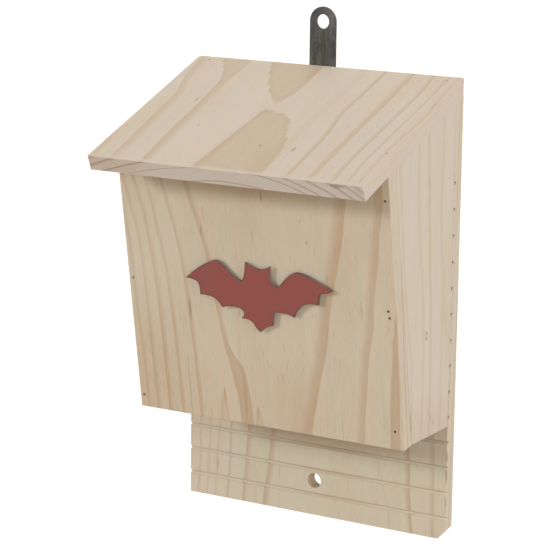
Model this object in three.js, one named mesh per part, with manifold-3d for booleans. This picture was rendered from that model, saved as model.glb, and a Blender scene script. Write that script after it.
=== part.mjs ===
// A bat box of planed pine boards: a long grooved back board, two side boards, a front board that leans
// outwards, a sloping roof, a partition inside that makes two roosting gaps, a steel hanging strap on the
// back and a sheet-steel bat on the front. The bottom is open, and bats land on the grooved board below it.
//
// Millimetres, +Z up. The front faces -Y and the wall is towards +Y. The origin is the centre of the
// strap's hanging hole, in the plane of the wall.
import * as THREE from "three";
import { mergeVertices } from "three/addons/utils/BufferGeometryUtils.js";
import Module from "manifold-3d";

const wasm = await Module();
wasm.setup();

// Driving dimensions of the wooden box
const boxWidth = 200;
const board = 10; // thickness of the planed boards
const backHeight = 292; // back board, up to the underside of the roof on its front face
const boxBottom = 78; // height of the side boards' lower edge above the back board's
const bottomDepth = 51; // depth of the side boards at their lower edge
const frontLean = 9.2; // degrees
const roofSlope = 21; // degrees
const roofLength = 142.5; // along its upper face
const roofLap = 0.4; // how far the roof stands out over each side board
const jointGap = 0.2; // hairline between boards

// The back board's own features
const grooveCount = 14;
const grooveFirst = 14.6; // height of the lowest groove
const groovePitch = 17.3;
const grooveHeight = 2.8; // at the board's face
const grooveFloorHeight = 1.2; // from its level upper side down to where its lower side slopes out
const grooveDepth = 1.8;
const wallHoleDiameter = 10.5; // for the lower fixing screw
const wallHoleHeight = 24.4;
const cornerClipWidth = 5.5;
const cornerClipHeight = 8.4;

// The partition inside
const partitionGap = 29.5; // from the back board to the partition
const partitionRise = 13; // its lower edge above the side boards' lower edge
const partitionHeight = 110;

// The hanging strap and its two countersunk screws
const strapWidth = 19.5;
const strapThickness = 1.5;
const strapHoleDiameter = 9.5;
const strapRise = 43.8; // from the top of the back board's front face up to the hole's centre
const strapHoleOffset = 4.7; // from the box's middle, towards its left
const strapOverlap = 41.45; // from there down to the strap's lower end
const strapScrewInset = 10; // from the strap's lower end to the lower screw
const strapScrewSpacing = 22;
const screwHeadDiameter = 6;
const screwShankDiameter = 3;
const screwLength = 10;
const screwTip = 3;
const screwSlotWidth = 0.9;
const screwSlotLength = 3.6;
const screwSlotDepth = 0.9;

// Brads, sunk a little below the wood
const nailHeadDiameter = 1.5;
const nailHeadHeight = 0.8;
const nailShankDiameter = 1.1;
const nailLength = 21;
const nailTip = 2;
const nailSink = 1;
const nailClearance = 0.15;

// The bat on the front board
const batWidth = 110;
const batHeight = 47.4;
const batSheet = 1.1;
const batStandoff = 2.1;
const batMiddleOffset = 2.2; // from the box's middle, towards its right
const batMiddleHeight = 92.5; // up the front board
const padDiameter = 9;
const padSpacing = 44;

const overrun = 3; // how far a cutter runs past the wood
const roundSides = 32;
const nailSides = 12;
const screwSides = 24;
const weldTolerance = 1e-4; // corners closer than this are one corner

const wood = { color: 0xd3c6b0, roughness: 0.75, metalness: 0 };
const shadedWood = { color: 0xc8b99c, roughness: 0.75, metalness: 0 };
const darkSteel = { color: 0x55564f, roughness: 0.45, metalness: 1 };
const brightSteel = { color: 0xa8a8a4, roughness: 0.35, metalness: 1 };
const redPaint = { color: 0x92524a, roughness: 0.7, metalness: 0 };
const foam = { color: 0xe8e6e0, roughness: 0.9, metalness: 0 };

const radians = THREE.MathUtils.degToRad;
const lean = radians(frontLean);
const slope = radians(roofSlope);

const across = new THREE.Vector3(1, 0, 0);
const back = new THREE.Vector3(0, 1, 0);
const up = new THREE.Vector3(0, 0, 1);

// Outlines seen from the side are in points (y, z)
const point = (y, z) => new THREE.Vector2(y, z);
const roofUp = point(Math.cos(slope), Math.sin(slope));
const roofOut = point(-Math.sin(slope), Math.cos(slope));
const frontUp = point(-Math.sin(lean), Math.cos(lean));
const frontOut = point(-Math.cos(lean), -Math.sin(lean));

const moved = (from, direction, distance) => from.clone().addScaledVector(direction, distance);

// Height of a line that runs under the roof, that far below it
function underRoof(y, drop) {
  return backHeight + y * Math.tan(slope) - drop / Math.cos(slope);
}

// Where a line from a point up the leaning front meets the line under the roof
function frontTop(from, drop) {
  const rise = underRoof(from.x, drop) - from.y;
  return moved(from, frontUp, rise / (frontUp.y - frontUp.x * Math.tan(slope)));
}

const sideFrontBottom = point(-bottomDepth, boxBottom);
const frontRearBottom = moved(sideFrontBottom, frontOut, jointGap);
const frontFaceBottom = moved(frontRearBottom, frontOut, board);
const frontFaceTop = frontTop(frontFaceBottom, jointGap);
const frontRearTop = frontTop(frontRearBottom, jointGap);
const frontFaceHeight = frontFaceTop.distanceTo(frontFaceBottom);

const partitionBottom = boxBottom + partitionRise;

const roofRearUnder = point(board, underRoof(board, 0));
const roofRearTop = point(board, underRoof(board, -board));
const roofFrontTop = moved(roofRearTop, roofUp, -roofLength);
const roofFrontUnder = moved(roofFrontTop, roofOut, -board);

// A closed outline in a plane, pushed square to the plane
function slab(points, thickness) {
  const shape = new THREE.Shape(points);
  return new THREE.ExtrudeGeometry(shape, { depth: thickness, bevelEnabled: false });
}

// A board seen from the side, from one place across the box to another
function boardAcross(points, from, to) {
  const geometry = slab(points, to - from);
  geometry.applyMatrix4(new THREE.Matrix4().makeBasis(back, up, across));
  return geometry.translate(from, 0, 0);
}

function toSolid(geometry) {
  const plain = new THREE.BufferGeometry();
  plain.setAttribute("position", geometry.getAttribute("position"));
  plain.setIndex(geometry.getIndex());
  const merged = mergeVertices(plain, weldTolerance);
  return new wasm.Manifold(
    new wasm.Mesh({
      numProp: 3,
      vertProperties: merged.getAttribute("position").array,
      triVerts: new Uint32Array(merged.getIndex().array),
    }),
  );
}

function toGeometry(solid) {
  const made = solid.getMesh();
  const geometry = new THREE.BufferGeometry();
  geometry.setAttribute("position", new THREE.BufferAttribute(made.vertProperties, 3));
  geometry.setIndex(new THREE.BufferAttribute(made.triVerts, 1));
  geometry.computeVertexNormals();
  return geometry;
}

function cut(geometry, cutters) {
  const solid = cutters.reduce((left, cutter) => left.subtract(toSolid(cutter)), toSolid(geometry));
  return toGeometry(solid);
}

// A turned form whose top is at the height 0 and whose axis runs down the group's Z
function turned(profile, sides) {
  const geometry = new THREE.LatheGeometry(profile, sides);
  return geometry.rotateX(Math.PI / 2);
}

// A group that lies on one flat face: its X and Y run in the face and its Z points out of the wood
function face(origin, xAxis, yAxis) {
  const group = new THREE.Group();
  const basis = new THREE.Matrix4().makeBasis(xAxis, yAxis, xAxis.clone().cross(yAxis));
  group.applyMatrix4(basis.setPosition(origin));
  return group;
}

const spatial = (x, at) => new THREE.Vector3(x, at.x, at.y);

const half = boxWidth / 2;
const frontFace = face(spatial(0, frontFaceBottom), across, spatial(0, frontUp));
const roofEdgeFace = face(spatial(0, roofFrontTop), across, back);
const rightFace = face(new THREE.Vector3(half, 0, 0), back, up);
const leftFace = face(new THREE.Vector3(-half, 0, 0), back.clone().negate(), up);
const rearFace = face(new THREE.Vector3(0, board, 0), across.clone().negate(), up);

const batBox = new THREE.Group();
batBox.add(frontFace, roofEdgeFace, rightFace, leftFace, rearFace);

function addPiece(group, name, geometry, finish) {
  const mesh = new THREE.Mesh(geometry, new THREE.MeshStandardMaterial(finish));
  mesh.name = name;
  group.add(mesh);
  return mesh;
}

// Brads: each has its cutter, which bores its hole in every board that it passes through
const bradBores = { back: [], left: [], right: [], front: [], roof: [], partition: [] };

function bradProfile(clearance, above) {
  const headRadius = nailHeadDiameter / 2 + clearance;
  const shankRadius = nailShankDiameter / 2 + clearance;
  return [
    point(0, -nailLength - clearance),
    point(shankRadius, -nailLength + nailTip - clearance),
    point(shankRadius, -nailHeadHeight - clearance),
    point(headRadius, -nailHeadHeight - clearance),
    point(headRadius, above),
    point(0, above),
  ];
}

function addBrad(group, name, x, y, z, boards) {
  const brad = addPiece(group, name, turned(bradProfile(0, 0), nailSides), darkSteel);
  brad.position.set(x, y, z - nailSink);
  brad.updateWorldMatrix(true, false);
  const bore = turned(bradProfile(nailClearance, nailSink + overrun), nailSides);
  bore.applyMatrix4(brad.matrixWorld);
  boards.forEach((passed) => bradBores[passed].push(bore));
}

const sideNames = { "-1": "left", 1: "right" };
const nailLine = half - board / 2; // the middle of a side board's edge

// Front brads: side, share of the front board's height, share of the board that it strays outwards
const frontBradShares = [
  ["top", 1, 0.911, 0.13],
  ["middle_upper", 1, 0.515, -0.09],
  ["middle_lower", 1, 0.491, -0.01],
  ["bottom", 1, 0.069, -0.1],
  ["top", -1, 0.9, 0.1],
  ["middle", -1, 0.507, 0.19],
  ["bottom", -1, 0.047, 0.24],
];
frontBradShares.forEach(([place, side, upShare, strayShare]) => {
  const x = side * (nailLine + strayShare * board);
  const name = `front_nail_${sideNames[side]}_${place}`;
  addBrad(frontFace, name, x, upShare * frontFaceHeight, 0, ["front", sideNames[side]]);
});

// Roof brads, driven plumb: inset from the side and distance behind the edge below, as shares of the board
const roofBradShares = [
  ["front", 1, 0.49, 0.56],
  ["front", -1, 0.39, 0.68],
  ["rear", 1, 0.97, 0.51],
  ["rear", -1, 1, 0.61],
];
roofBradShares.forEach(([place, side, insetShare, behindShare]) => {
  const edge = place === "front" ? frontFaceTop.x : 0;
  const behindEdge = edge + behindShare * board - roofFrontTop.x;
  const x = side * (half - insetShare * board);
  const name = `roof_nail_${sideNames[side]}_${place}`;
  const carrier = place === "front" ? "front" : "back";
  addBrad(roofEdgeFace, name, x, behindEdge, behindEdge * Math.tan(slope), ["roof", carrier]);
});

// Rear brads, through the back board into the side boards: share of the side board's rear edge
const rearBradShares = { bottom: 0.1, middle: 0.5, top: 0.86 };
Object.entries(rearBradShares).forEach(([place, share]) => {
  [-1, 1].forEach((side) => {
    const z = boxBottom + share * (backHeight - boxBottom);
    const name = `rear_nail_${sideNames[side]}_${place}`;
    addBrad(rearFace, name, -side * nailLine, z, 0, ["back", sideNames[side]]);
  });
});

// Partition brads, through the side boards into the partition's ends: share of the partition's height
const partitionBradShares = { upper: 0.517, lower: 0.484 };
Object.entries(partitionBradShares).forEach(([place, share]) => {
  [-1, 1].forEach((side) => {
    const group = side > 0 ? rightFace : leftFace;
    const y = -partitionGap - board / 2;
    const z = partitionBottom + share * partitionHeight;
    const name = `partition_nail_${sideNames[side]}_${place}`;
    addBrad(group, name, side * y, z, 0, ["partition", sideNames[side]]);
  });
});

// Hanging strap, flat on the rear of the back board, with round ends about the hole and the lower end
const strapRadius = strapWidth / 2;
const strapHoleHeight = backHeight + strapRise;
const strapLowEnd = backHeight - strapOverlap;
const strapLowScrew = strapLowEnd + strapScrewInset;

const strapFace = new THREE.Group();
strapFace.position.set(strapHoleOffset, 0, jointGap);
rearFace.add(strapFace);
strapFace.updateWorldMatrix(true, false);

const strapShape = new THREE.Shape();
strapShape.absarc(0, strapHoleHeight, strapRadius, 0, Math.PI, false);
strapShape.absarc(0, strapLowEnd + strapRadius, strapRadius, Math.PI, 2 * Math.PI, false);
const hangingHole = new THREE.Path();
hangingHole.absarc(0, strapHoleHeight, strapHoleDiameter / 2, 0, 2 * Math.PI, true);
strapShape.holes.push(hangingHole);
const strapPlate = new THREE.ExtrudeGeometry(strapShape, {
  depth: strapThickness,
  bevelEnabled: false,
  curveSegments: roundSides,
});

// Countersunk screws: the head's cone is as deep as the strap is thick, and its slots make a cross
const screwBores = { strap: [], back: [] };

function screwProfile(clearance, above) {
  const headRadius = screwHeadDiameter / 2 + clearance;
  const shankRadius = screwShankDiameter / 2 + clearance;
  return [
    point(0, -screwLength - clearance),
    point(shankRadius, -screwLength + screwTip - clearance),
    point(shankRadius, -strapThickness),
    point(headRadius, 0),
    ...(above ? [point(headRadius, above)] : []),
    point(0, above),
  ];
}

function addStrapScrew(name, height) {
  const slots = [0, Math.PI / 2].map((turn) =>
    new THREE.BoxGeometry(screwSlotLength, screwSlotWidth, 2 * screwSlotDepth).rotateZ(turn),
  );
  const screw = addPiece(strapFace, name, cut(turned(screwProfile(0, 0), screwSides), slots), brightSteel);
  screw.position.set(0, height, strapThickness - jointGap);
  screw.updateWorldMatrix(true, false);
  const bore = turned(screwProfile(nailClearance, jointGap + overrun), screwSides);
  screwBores.strap.push(bore.clone().translate(0, height, strapThickness - jointGap));
  screwBores.back.push(bore.applyMatrix4(screw.matrixWorld));
}
addStrapScrew("strap_screw_lower", strapLowScrew);
addStrapScrew("strap_screw_upper", strapLowScrew + strapScrewSpacing);
addPiece(strapFace, "hanging_strap", cut(strapPlate, screwBores.strap), darkSteel);

// Back board, with its grooves, the hole for the lower wall screw and one clipped corner
function grooveCutters() {
  return Array.from({ length: grooveCount }, (_, index) => {
    const top = grooveFirst + index * groovePitch + grooveHeight / 2;
    const groove = [
      point(-overrun, top),
      point(-overrun, top - grooveHeight),
      point(0, top - grooveHeight),
      point(grooveDepth, top - grooveFloorHeight),
      point(grooveDepth, top),
    ];
    return boardAcross(groove, -half - overrun, half + overrun);
  });
}

function wallHoleCutter() {
  const radius = wallHoleDiameter / 2;
  const hole = new THREE.CylinderGeometry(radius, radius, board + 2 * overrun, roundSides);
  return hole.translate(0, board / 2, wallHoleHeight);
}

// The clipped corner's cut runs on past the board at the same angle
function cornerCutter() {
  const rise = cornerClipHeight / cornerClipWidth;
  const corner = slab(
    [
      point(half - cornerClipWidth - overrun, -overrun * rise),
      point(half + overrun, -overrun * rise),
      point(half + overrun, cornerClipHeight + overrun * rise),
    ],
    board + 2 * overrun,
  );
  corner.applyMatrix4(new THREE.Matrix4().makeBasis(across, up, back.clone().negate()));
  return corner.translate(0, board + overrun, 0);
}

const backProfile = [
  point(0, 0),
  point(board, 0),
  point(board, underRoof(board, jointGap)),
  point(0, underRoof(0, jointGap)),
];
const backCutters = [...grooveCutters(), wallHoleCutter(), cornerCutter(), ...bradBores.back];
addPiece(
  batBox,
  "back_board",
  cut(boardAcross(backProfile, -half, half), [...backCutters, ...screwBores.back]),
  wood,
);

// Side boards, between the back board and the front board
const sideProfile = [
  point(-jointGap, boxBottom),
  point(-jointGap, underRoof(-jointGap, jointGap)),
  frontTop(sideFrontBottom, jointGap),
  sideFrontBottom,
];
addPiece(batBox, "side_board_left", cut(boardAcross(sideProfile, -half, board - half), bradBores.left), wood);
addPiece(batBox, "side_board_right", cut(boardAcross(sideProfile, half - board, half), bradBores.right), wood);

const frontProfile = [frontRearBottom, frontRearTop, frontFaceTop, frontFaceBottom];
addPiece(batBox, "front_board", cut(boardAcross(frontProfile, -half, half), bradBores.front), shadedWood);

const roofProfile = [roofRearUnder, roofRearTop, roofFrontTop, roofFrontUnder];
const roofHalf = half + roofLap;
addPiece(batBox, "roof_board", cut(boardAcross(roofProfile, -roofHalf, roofHalf), bradBores.roof), wood);

const partitionProfile = [
  point(-partitionGap, partitionBottom),
  point(-partitionGap, partitionBottom + partitionHeight),
  point(-partitionGap - board, partitionBottom + partitionHeight),
  point(-partitionGap - board, partitionBottom),
];
const partitionHalf = half - board - jointGap;
addPiece(
  batBox,
  "partition_board",
  cut(boardAcross(partitionProfile, -partitionHalf, partitionHalf), bradBores.partition),
  shadedWood,
);

// The bat's outline from its left wing tip: a curve's control point and its end, as shares of half the
// width across and of the height up
const batStartShares = [-1, 0.65];
const batCurveShares = [
  [-0.76, 0.885, -0.595, 0.957],
  [-0.53, 0.985, -0.475, 0.92],
  [-0.375, 0.8, -0.28, 0.715],
  [-0.235, 0.675, -0.2, 0.745],
  [-0.165, 0.83, -0.157, 0.985],
  [-0.15, 1, -0.115, 0.975],
  [0.03, 0.85, 0.187, 0.978],
  [0.115, 0.7, 0.265, 0.7],
  [0.29, 0.7, 0.31, 0.735],
  [0.405, 0.875, 0.49, 0.925],
  [0.545, 0.957, 0.62, 0.93],
  [0.76, 0.87, 1, 0.745],
  [0.93, 0.69, 0.851, 0.688],
  [0.8, 0.65, 0.804, 0.515],
  [0.547, 0.559, 0.462, 0.283],
  [0.33, 0.36, 0.19, 0.312],
  [0.17, 0.24, 0.17, 0.128],
  [0.07, 0.1, -0.013, 0],
  [-0.05, 0.015, -0.085, 0.085],
  [-0.125, 0.18, -0.26, 0.165],
  [-0.17, 0.25, -0.28, 0.312],
  [-0.4, 0.345, -0.52, 0.283],
  [-0.595, 0.475, -0.815, 0.428],
  [-0.8, 0.6, -0.865, 0.63],
  [-0.93, 0.648, -1, 0.65],
];

function batShape() {
  const x = (share) => batMiddleOffset + (share * batWidth) / 2;
  const y = (share) => batMiddleHeight + (share - 0.5) * batHeight;
  const shape = new THREE.Shape();
  shape.moveTo(x(batStartShares[0]), y(batStartShares[1]));
  batCurveShares.forEach(([bendX, bendY, endX, endY]) => {
    shape.quadraticCurveTo(x(bendX), y(bendY), x(endX), y(endY));
  });
  return shape;
}

const bat = addPiece(
  frontFace,
  "bat_badge",
  new THREE.ExtrudeGeometry(batShape(), { depth: batSheet, bevelEnabled: false, curveSegments: 5 }),
  redPaint,
);
bat.position.z = batStandoff;

// Foam pads that hold the bat off the board
[-1, 1].forEach((side) => {
  const radius = padDiameter / 2;
  const pad = new THREE.CylinderGeometry(radius, radius, batStandoff - 2 * jointGap, roundSides);
  pad.rotateX(Math.PI / 2);
  const mesh = addPiece(frontFace, `bat_pad_${sideNames[side]}`, pad, foam);
  mesh.position.set(batMiddleOffset + (side * padSpacing) / 2, batMiddleHeight, batStandoff / 2);
});

batBox.position.set(strapHoleOffset, -board - jointGap - strapThickness, -strapHoleHeight);

export default batBox;
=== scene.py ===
import math

import bmesh
import bpy
from mathutils import Matrix, Vector, noise


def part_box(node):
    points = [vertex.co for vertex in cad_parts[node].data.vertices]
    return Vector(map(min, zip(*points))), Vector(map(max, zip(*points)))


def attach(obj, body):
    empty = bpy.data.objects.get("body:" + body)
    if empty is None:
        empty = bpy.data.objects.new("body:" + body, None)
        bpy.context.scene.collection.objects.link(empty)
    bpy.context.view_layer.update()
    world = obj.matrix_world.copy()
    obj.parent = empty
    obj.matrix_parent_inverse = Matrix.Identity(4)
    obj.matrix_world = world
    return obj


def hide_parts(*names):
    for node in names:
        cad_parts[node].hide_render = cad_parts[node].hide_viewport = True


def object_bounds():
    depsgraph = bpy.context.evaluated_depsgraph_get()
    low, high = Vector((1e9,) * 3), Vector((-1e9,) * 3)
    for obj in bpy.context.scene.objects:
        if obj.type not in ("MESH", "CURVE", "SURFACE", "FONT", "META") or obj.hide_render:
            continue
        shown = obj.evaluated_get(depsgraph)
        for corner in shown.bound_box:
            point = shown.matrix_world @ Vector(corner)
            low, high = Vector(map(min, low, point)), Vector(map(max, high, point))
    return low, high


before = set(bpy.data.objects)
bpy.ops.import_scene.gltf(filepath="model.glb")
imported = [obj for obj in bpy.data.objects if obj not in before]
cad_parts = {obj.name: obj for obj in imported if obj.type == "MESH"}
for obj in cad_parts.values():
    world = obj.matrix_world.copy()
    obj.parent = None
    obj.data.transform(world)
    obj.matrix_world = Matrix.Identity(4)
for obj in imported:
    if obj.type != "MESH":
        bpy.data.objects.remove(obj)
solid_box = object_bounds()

MM = 0.001
BOARD = 10 * MM  # thickness of the planed boards
ROOF_SLOPE = math.radians(21)
FRONT_LEAN = math.radians(9.2)
WHITE = "#FFFFFF"

# Camera, light and floor

IMAGE_WIDTH = 550  # pixels
SENSOR_WIDTH = 36  # mm
FOCAL_PIXELS = 2343.71
CAMERA_PLACE = Vector((760.91, -1342.13, 163.44)) * MM
CAMERA_TURN = math.radians(30.672)
CAMERA_TILT = math.radians(12.186)
CAMERA_ROLL = math.radians(0.671)
FRAME_MIDDLE_OFFSET = (-0.09, -2.24)  # pixels, right and up

camera_data = bpy.data.cameras.new("camera")
camera_data.sensor_width = SENSOR_WIDTH
camera_data.lens = FOCAL_PIXELS * SENSOR_WIDTH / IMAGE_WIDTH
camera_data.shift_x = FRAME_MIDDLE_OFFSET[0] / IMAGE_WIDTH
camera_data.shift_y = FRAME_MIDDLE_OFFSET[1] / IMAGE_WIDTH
camera = bpy.data.objects.new("camera", camera_data)
aim = Matrix.Rotation(CAMERA_TURN, 4, "Z") @ Matrix.Rotation(math.pi / 2 - CAMERA_TILT, 4, "X")
camera.matrix_world = Matrix.Translation(CAMERA_PLACE) @ aim @ Matrix.Rotation(CAMERA_ROLL, 4, "Z")
bpy.context.scene.collection.objects.link(camera)
bpy.context.scene.camera = camera
bpy.context.scene.view_settings.view_transform = "Standard"


def linear(code):
    """A colour written as an sRGB hex value, as linear red, green, blue and alpha."""
    parts = [int(code[at:at + 2], 16) / 255 for at in (1, 3, 5)]
    return [p / 12.92 if p <= 0.04045 else ((p + 0.055) / 1.055) ** 2.4 for p in parts] + [1]


def add_node(tree, kind, inputs=None, **settings):
    """Adds one node. An input is a value, a socket, or a node, which stands for its first output."""
    node = tree.nodes.new("ShaderNode" + kind)
    for setting, value in settings.items():
        setattr(node, setting, value)
    for key, value in (inputs or {}).items():
        by_name = [s for s in node.inputs if s.name == key and s.enabled]
        socket = by_name[0] if by_name else node.inputs[key]
        if isinstance(value, bpy.types.Node):
            value = [s for s in value.outputs if s.enabled][0]
        if isinstance(value, bpy.types.NodeSocket):
            tree.links.new(value, socket)
        else:
            socket.default_value = value
    return node


def new_material(name):
    """A material with an empty node tree."""
    material = bpy.data.materials.new(name)
    material.use_nodes = True
    material.node_tree.nodes.clear()
    return material


# Lamps: the direction that each shines from, its share of full light, and its width in the sky
LAMPS = {
    "window_front_left": ((-0.633, -0.703, 0.326), 0.41, 12),
    "soft_box_front_right": ((0.5, -0.85, 0.12), 0.35, 40),
    "soft_box_right": ((0.95, -0.1, 0.25), 0.56, 50),
    "soft_box_above": ((0, -0.1, 1), 0.26, 80),
    "soft_box_behind": ((-0.35, 0.93, 0.1), 0.5, 70),
}
LAMP_TINT = (0.96, 1, 1.07)  # a little cool, since the room's own light is warm
for name, (direction, share, width) in LAMPS.items():
    lamp = bpy.data.lights.new(name, "SUN")
    lamp.energy = share * math.pi
    lamp.color = LAMP_TINT
    lamp.angle = math.radians(width)
    lamp_object = bpy.data.objects.new(name, lamp)
    lamp_object.rotation_euler = Vector(direction).to_track_quat("Z", "Y").to_euler()
    bpy.context.scene.collection.objects.link(lamp_object)

# Room: seen as white, also in metal, and giving a plain soft light that its warm walls tint
ROOM_LIGHT = 0.15
WARM_WALLS = "#FFF1E2"
world = bpy.data.worlds.new("white_room")
bpy.context.scene.world = world
world.use_nodes = True
tree = world.node_tree
tree.nodes.clear()
path = add_node(tree, "LightPath")
seen = add_node(tree, "Math", {0: path.outputs["Is Camera Ray"], 1: path.outputs["Is Glossy Ray"]},
                operation="MAXIMUM")
seen = add_node(tree, "Math", {0: seen, 1: path.outputs["Is Transmission Ray"]}, operation="MAXIMUM")
strength = add_node(tree, "MapRange", {"Value": seen, "To Min": ROOM_LIGHT, "To Max": 1.0})
room_colour = add_node(tree, "Mix", {"Factor": seen, "A": linear(WARM_WALLS), "B": linear(WHITE)},
                       data_type="RGBA")
background = add_node(tree, "Background", {"Color": room_colour, "Strength": strength})
add_node(tree, "OutputWorld", {"Surface": background})

# The box hangs, so the floor lies well below it, and reaches far enough to fill the view (in metres)
FLOOR_DROP = 1.6
FLOOR_REACH = 26
floor_mesh = bpy.data.meshes.new("floor")
floor_height = solid_box[0].z - FLOOR_DROP
corners = [(-1, -1), (1, -1), (1, 1), (-1, 1)]
floor_mesh.from_pydata([(x * FLOOR_REACH, y * FLOOR_REACH, floor_height) for x, y in corners], [],
                       [(0, 1, 2, 3)])
floor = bpy.data.objects.new("floor", floor_mesh)
bpy.context.scene.collection.objects.link(floor)

# Pale painted floor: reads as white, and keeps the shadow that falls on it
FLOOR_PAINT = "#B8AC9D"
FLOOR_GLOW = 0.75  # how much white the eye and shiny things see in it
paint = new_material("pale_floor_paint")
tree = paint.node_tree
path = add_node(tree, "LightPath")
body = add_node(tree, "BsdfDiffuse", {"Color": linear(FLOOR_PAINT)})
glow = add_node(tree, "Math", {0: path.outputs["Is Camera Ray"], 1: path.outputs["Is Glossy Ray"]},
                operation="MAXIMUM")
glow = add_node(tree, "Math", {0: glow, 1: FLOOR_GLOW}, operation="MULTIPLY")
lift = add_node(tree, "Emission", {"Color": linear(WHITE), "Strength": glow})
both = add_node(tree, "AddShader", {0: body, 1: lift})
add_node(tree, "OutputMaterial", {"Surface": both})
floor_mesh.materials.append(paint)

# Pine: how its lines lie

SPREAD = 130  # mm, the half width that the growth lines may lie in
LENGTH_START, LENGTH_END = -10, 300  # mm along the grain that their curves cover
WANDER = 1  # mm that a line strays in long waves
FRAY = 0.8  # mm that the fibres fray its edges

# How dark a line is in end grain, as a share of what it is on the face: left and right of the middle
RING_SHARE = {-1: 1.7, 1: 1.1}
RING_EDGE = 1.2  # mm over which a ring starts in end grain
RING_CORE, RING_REACH = 1.6, 6  # mm inwards where it starts to fade, and where it ends
BURIED_ARC = 270  # mm, twice the radius of the rings that lie wholly inside a board
BURIED_SHARE = 0.8  # how dark those rings are

# A growth line's darkness from its sharp outer side inwards, as shares of its width and strength
LINE_FADE = [(0, 0), (0.08, 1), (0.45, 0.82), (0.75, 0.36), (1, 0)]

# Growth lines: which side of the tree's middle (-1 is left), width in mm, strength, and the outer side's
# way through the face as (mm along the grain, mm across)
ROOF_LINES = [
    (-1, 4, 0.4, [(0, -97.5), (20, -99), (45, -104)]),
    (-1, 7, 0.5, [(0, -83.5), (30, -84.3), (60, -85.5), (88, -87), (97, -89.5), (110, -93),
                  (142, -97.5)]),
    (-1, 8, 0.62, [(0, -60), (30, -62), (60, -63), (95, -64.2), (115, -65.5), (128, -72),
                   (142, -80)]),
    (1, 8, 0.16, [(60, 28), (90, 30), (142, 31)]),
    (1, 3.5, 0.6, [(0, 46.5), (40, 45.8), (65, 44.7), (85, 42.3), (110, 43.3), (142, 44.5)]),
    (1, 5, 0.6, [(0, 63), (30, 63), (60, 63.3), (110, 64.3), (142, 64.5)]),
    (1, 3.5, 0.55, [(0, 78), (40, 77.5), (60, 78.3), (95, 79.5), (115, 80.5), (142, 79.3)]),
    (1, 2.2, 0.45, [(0, 88.2), (30, 86.6), (60, 87.5), (80, 88.5), (110, 89.5), (142, 90.5)]),
    (1, 2.2, 0.42, [(0, 96), (40, 94.3), (60, 95.5), (90, 98), (110, 97.5), (142, 96.7)]),
]
FRONT_LINES = [
    (-1, 1.8, 0.5, [(0, -101), (100, -103), (165, -111)]),
    (-1, 2.2, 0.5, [(0, -93.5), (45, -94.3), (80, -95.5), (110, -96.5), (140, -99.8), (165, -105)]),
    (-1, 3, 0.5, [(0, -86.2), (45, -86.9), (80, -87.6), (110, -88.5), (130, -90.7), (140, -93),
                  (165, -98.6)]),
    (-1, 3.5, 0.6, [(0, -76.9), (45, -77.3), (80, -78), (110, -80.2), (130, -82.6), (140, -84),
                    (165, -90.3)]),
    (-1, 3, 0.55, [(0, -66.3), (20, -67), (50, -67.6), (80, -69), (110, -71), (130, -74.4),
                   (140, -75.7), (165, -80.7)]),
    (-1, 3, 0.6, [(0, -51.8), (20, -52.3), (50, -53.3), (80, -55), (100, -56), (110, -57),
                  (130, -60.2), (140, -62.4), (165, -68.5)]),
    (-1, 4, 0.62, [(0, -20), (10, -20.2), (20, -21.5), (30, -23.4), (40, -25.5), (50, -27.7),
                   (60, -29.6), (80, -32.3), (115, -37.4), (130, -40.6), (140, -42.8),
                   (150, -45.8), (165, -49.5)]),
    (1, 9.5, 0.64, [(0, 31.7), (15, 35.5), (30, 39), (40, 41.4), (50, 44.2), (60, 46.8),
                    (70, 48.8), (80, 50.4), (90, 52.4), (100, 54.8), (120, 59.8), (140, 64.3),
                    (165, 68.5)]),
    (1, 6.5, 0.55, [(0, 70.8), (20, 72.9), (40, 75.4), (60, 77.5), (80, 81.7), (100, 83.9),
                    (120, 87.5), (140, 90.2), (165, 94.3)]),
    (1, 1.6, 0.6, [(0, 107.2), (50, 109), (110, 112.6), (165, 118)]),
]
SIDE_LINES = [
    (1, 5, 0.45, [(0, -26.8), (15, -26.4), (30, -26.2), (50, -26.4), (70, -27.2), (90, -28.2),
                  (110, -30.3), (120, -30.8), (140, -32.2), (160, -33.6), (180, -34.6),
                  (195, -36)]),
    (1, 4.5, 0.3, [(0, -37.5), (20, -36.8), (40, -36.5), (60, -36.7), (80, -38), (100, -40.3),
                   (110, -41.8), (130, -44.7), (150, -47), (170, -48.3), (195, -49)]),
    (1, 5, 0.28, [(0, -11.3), (60, -11), (90, -10.5), (120, -13.8), (140, -15.5), (160, -15.7),
                  (195, -15)]),
    (1, 3, 0.3, [(0, 1.5), (100, 1.5), (200, 0.3)]),
    (1, 4, 0.28, [(0, -51), (25, -52), (40, -52.7), (60, -54), (75, -58), (95, -62), (120, -66),
                  (190, -75)]),
]
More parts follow.
